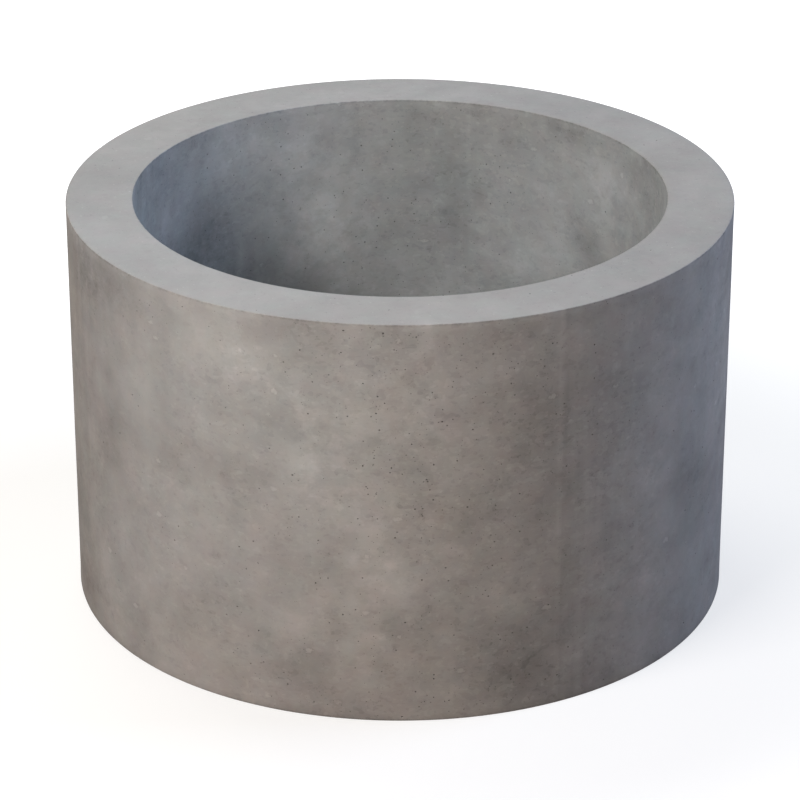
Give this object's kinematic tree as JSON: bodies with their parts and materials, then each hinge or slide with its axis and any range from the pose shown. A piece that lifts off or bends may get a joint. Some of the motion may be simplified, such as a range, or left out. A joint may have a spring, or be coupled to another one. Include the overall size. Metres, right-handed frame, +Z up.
{
  "type": "concrete culvert ring",
  "caption": "Precast concrete ring with a thick plain wall and flat joint faces, stacked with others as a culvert, well or manhole shaft.",
  "frame": {"origin": "centre of the ring's lower joint face, on the level that the ring stands on", "axes": "+Z up along the bore's axis; +Y away from the front; +X to the right seen from the front"},
  "size_m": [1, 1, 0.625],
  "materials": {
    "cast_concrete": "plain cast concrete, matt, grey, with cloudy patches and fine air pores"
  },
  "bodies": {
    "root": {"culvert_ring": "cast_concrete"}
  },
  "joints": []
}
